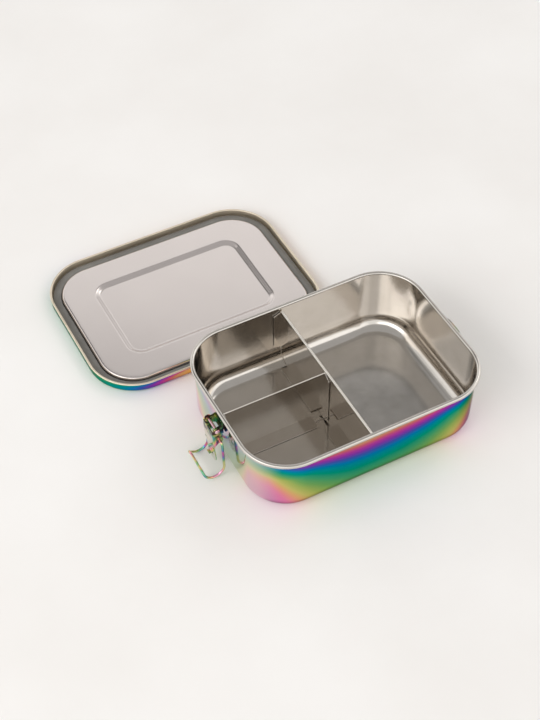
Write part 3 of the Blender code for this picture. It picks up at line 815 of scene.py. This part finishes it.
under = panel_level - lid_sheet
edge_radius = 0.0022
root_radius = channel_radius - lid_sheet
channel_wall = panel_inset - lid_sheet
hem = hem_width / 2
foot_middle = skirt_setback + skirt_radius
inner_edge = edge_radius - lid_sheet
lid_section = [(panel_inset + inner_edge + panel_border, under)]
lid_section += arc_points(panel_inset + inner_edge, under - inner_edge, inner_edge, 90, 180, 7)
lid_section += arc_points(panel_inset - channel_radius, channel_radius, channel_radius, 0, -90, 7)
lid_section += arc_points(foot_middle, skirt_radius, skirt_radius, 270, 180, 10)
lid_section += arc_points(hem, lid_high.z - hem, hem, 180, 0, 14)
lid_section += [(hem_width, lid_high.z - hem_depth)]
lid_section += [(skirt_setback + lid_sheet, lid_high.z - hem_depth - root_radius)]
lid_section += arc_points(foot_middle, skirt_radius, skirt_radius - lid_sheet, 180, 270, 8)
lid_section += arc_points(channel_wall - root_radius, channel_radius, root_radius, 270, 360, 4)
lid_section += arc_points(channel_wall + edge_radius, panel_level - edge_radius,
                          edge_radius, 180, 90, 10)
lid_section += [(channel_wall + edge_radius + panel_border, panel_level)]


def panel_with_field(shape, level, depth, turns):
    """Close one side of the panel: the flat, then the field's soft slope, then its middle."""
    border = [edge for edge in shape.edges if edge.is_boundary
              and abs(edge.verts[0].co.z - level) < same_point]
    field_low = Vector((lid_middle.x - field_half.x, lid_middle.y - field_half.y, 0))
    field_high = Vector((lid_middle.x + field_half.x, lid_middle.y + field_half.y, 0))
    section = [(-field_border, level)]
    for step in range(field_steps + 1):
        share = step / field_steps
        section.append((field_slope * share, level - depth * (1 - cos(pi * share)) / 2))
    section.append((field_slope + field_border, level - depth))
    field = carry_round(section, field_low, field_high, field_corner, turns)
    mesh = bpy.data.meshes.new("field")
    field.to_mesh(mesh)
    field.free()
    before = set(shape.verts)
    shape.from_mesh(mesh)
    bpy.data.meshes.remove(mesh)
    new_rim = [edge for edge in shape.edges if edge.is_boundary
               and not any(vert in before for vert in edge.verts)
               and abs(edge.verts[0].co.z - level) < same_point]
    bmesh.ops.triangle_fill(shape, edges=border + new_rim, use_beauty=True, use_dissolve=False)


lid_turns = 28
satin, coat, bronze = 0, 1, 2
lid_shape = carry_round(lid_section, lid_low, lid_high, lid_corner, lid_turns)
panel_with_field(lid_shape, under, field_depth, lid_turns)
panel_with_field(lid_shape, panel_level, field_depth, lid_turns)
close_shape(lid_shape)
for face in lid_shape.faces:
    middle = face.calc_center_median()
    out = max(abs(middle.x - lid_middle.x) - (lid_high.x - lid_middle.x - lid_corner), 0.0)
    aside = max(abs(middle.y - lid_middle.y) - (lid_high.y - lid_middle.y - lid_corner), 0.0)
    reach = sqrt(out ** 2 + aside ** 2)
    at_skirt = reach > lid_corner - hem and middle.z < lid_high.z - hem
    over_gasket = reach > lid_corner - skirt_setback - 2 * skirt_radius
    underside = face.normal.z < -0.05 and middle.z < lid_high.z - hem_depth - root_radius
    face.material_index = bronze if over_gasket and middle.z > channel_radius else satin
    if underside or at_skirt:
        face.material_index = coat
add_piece("pressed_lid", lid_shape, (lid_steel_satin(), lid_coat(), hem_coat()), "lid",
          "lid_steel", "lid_shell")


# ---------------------------------------------------------------- Gasket
# One moulded ring of grey food-grade silicone, pressed into the lid's channel. Its top is
# slightly crowned where the tub's bead bears on it.

gasket_low, gasket_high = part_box("lid_gasket")
gasket_inner = 0.0092
gasket_inset = gasket_low.x - lid_low.x
gasket_edge = 0.0006


def silicone():
    material, shader = new_material("grey_silicone")
    shader.inputs["IOR"].default_value = 1.41
    shader.inputs["Subsurface Weight"].default_value = 0.05
    shader.inputs["Subsurface Radius"].default_value = (0.002, 0.002, 0.002)
    grain = node(material, "TexNoise", {"Vector": place_nodes(material), "Scale": 900.0,
                                        "Detail": 3.0}).outputs[0]
    dust = node(material, "TexNoise", {"Vector": place_nodes(material), "Scale": 60.0,
                                       "Detail": 3.0}).outputs[0]
    feed(material, ramp(material, dust, ((0.3, linear(116, 114, 110)),
                                         (0.7, linear(128, 126, 122)))),
         shader.inputs["Base Color"])
    feed(material, roughen(material, shader, grain, 0.5, 0.06, 0.15, 0.00002),
         shader.inputs["Normal"])
    return material


crown = 0.0003
top = gasket_high.z - crown
width = gasket_inner - gasket_inset
gasket_section = [(gasket_inner, gasket_low.z)]
gasket_section += arc_points(gasket_inset + gasket_edge, gasket_low.z + gasket_edge, gasket_edge,
                             270, 180, 4)
gasket_section += arc_points(gasket_inset + gasket_edge, top - gasket_edge, gasket_edge,
                             180, 90, 5)
crown_steps = 10
for step in range(1, crown_steps):
    share = step / crown_steps
    gasket_section.append((gasket_inset + gasket_edge + (width - 2 * gasket_edge) * share,
                           top + crown * sin(pi * share)))
gasket_section += arc_points(gasket_inner - gasket_edge, top - gasket_edge, gasket_edge, 90, 0, 5)
ring = carry_round(gasket_section, lid_low, lid_high, lid_corner, lid_turns, closed=True)
bmesh.ops.recalc_face_normals(ring, faces=ring.faces)
add_piece("silicone_gasket", ring, (silicone(),), "lid", "gasket_silicone", "lid_gasket")


# ---------------------------------------------------------------- Table, light and camera
# A plain pale table under soft daylight: a surround of bright windows under a dimmer ceiling,
# and one large soft light from the left.

table_half = 3.0
table_gap = 0.0002
table_shape = bmesh.new()
bmesh.ops.create_grid(table_shape, x_segments=8, y_segments=8, size=table_half,
                      matrix=Matrix.Translation((0, 0, -table_gap)))
table_mesh = bpy.data.meshes.new("table")
table_shape.to_mesh(table_mesh)
table_shape.free()
table = bpy.data.objects.new("table", table_mesh)
bpy.context.scene.collection.objects.link(table)
table_paint, paint = new_material("pale_table_paint")
paint.inputs["Roughness"].default_value = 0.6
patches = node(table_paint, "TexNoise", {"Vector": place_nodes(table_paint), "Scale": 5.0,
                                         "Detail": 5.0}).outputs[0]
feed(table_paint, ramp(table_paint, patches, ((0.3, linear(233, 230, 227)),
                                              (0.7, linear(240, 238, 236)))),
     paint.inputs["Base Color"])
table_mesh.materials.append(table_paint)
table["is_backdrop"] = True

world = bpy.data.worlds.new("daylight")
bpy.context.scene.world = world
world.use_nodes = True
light = world.node_tree.nodes["Background"]
direction = node(world, "TexCoord").outputs["Generated"]
across, along, up = node(world, "SeparateXYZ", {0: direction}).outputs
turn = reckon(world, "ARCTAN2", across, along)
rise = reckon(world, "ARCSINE", up)


def soft_patch(turn_degrees, rise_degrees, wide, tall):
    """1 in the middle of a soft oval of the surround, 0 outside it; sizes in degrees."""
    aside = reckon(world, "DIVIDE", reckon(world, "SUBTRACT", turn, radians(turn_degrees)),
                   radians(wide))
    above = reckon(world, "DIVIDE", reckon(world, "SUBTRACT", rise, radians(rise_degrees)),
                   radians(tall))
    apart = reckon(world, "ADD", reckon(world, "MULTIPLY", aside, aside),
                   reckon(world, "MULTIPLY", above, above))
    return node(world, "MapRange", {0: apart, 1: 2.0, 2: 0.1},
                interpolation_type="SMOOTHSTEP").outputs[0]


# Soft ovals as (towards, above the horizon, half width, half height, how much brighter)
walls = ((-100, 37, 30, 14, 1.5), (150, 40, 32, 16, 0.35), (-142, 40, 12, 10, 1.0),
         (30, 20, 34, 16, -0.5))
ceiling = ((10, 53, 9, 4.5, -0.40), (36, 49.6, 6.5, 2.6, -0.38), (68, 48, 11, 9, 1.6))
wall_light, ceiling_light = 0.66, 0.52
below_ceiling = node(world, "MapRange", {0: rise, 1: radians(48.4), 2: radians(46.2)},
                     interpolation_type="SMOOTHSTEP").outputs[0]
strength = wall_light
for *oval, brighter in walls:
    strength = reckon(world, "MULTIPLY_ADD", soft_patch(*oval), brighter, strength)
strength = reckon(world, "MULTIPLY_ADD", strength, below_ceiling, ceiling_light)
for *oval, brighter in ceiling:
    strength = reckon(world, "MULTIPLY_ADD", soft_patch(*oval), brighter, strength)
shade = reckon(world, "MAXIMUM", soft_patch(-9, 48.5, 17, 8), soft_patch(-30, 38, 14, 7))
shade = reckon(world, "MULTIPLY_ADD", shade, -0.88, 1.0)
feed(world, reckon(world, "MULTIPLY", strength, shade), light.inputs["Strength"])
light.inputs["Color"].default_value = (1.0, 0.99, 0.975, 1.0)

lamp = bpy.data.lights.new("window", 'AREA')
lamp.shape, lamp.size, lamp.size_y, lamp.energy = 'RECTANGLE', 1.6, 1.0, 13.0
window = bpy.data.objects.new("window", lamp)
window.location = (-1.8, -0.45, 1.35)
aim = Vector((-0.0304, 0.0477, 0.030))
window.rotation_euler = (aim - window.location).to_track_quat('-Z', 'Y').to_euler()
window.visible_glossy = False
bpy.context.scene.collection.objects.link(window)

camera_turn, camera_rise, camera_roll = radians(-27.72), radians(48.32), radians(-0.27)
camera_distance = 1.1332
back = Vector((sin(camera_turn) * cos(camera_rise), -cos(camera_turn) * cos(camera_rise),
               sin(camera_rise)))
lens = bpy.data.cameras.new("camera")
lens.lens, lens.sensor_width = 72.62, 36.0
lens.clip_start = 0.01
camera = bpy.data.objects.new("camera", lens)
camera.rotation_mode = 'QUATERNION'
roll = Matrix.Rotation(camera_roll, 3, 'Z').to_quaternion()
camera.rotation_quaternion = (-back).to_track_quat('-Z', 'Y') @ roll
camera.location = aim + back * camera_distance
bpy.context.scene.collection.objects.link(camera)
bpy.context.scene.camera = camera
bpy.context.scene.view_settings.view_transform = 'Standard'

low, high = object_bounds()
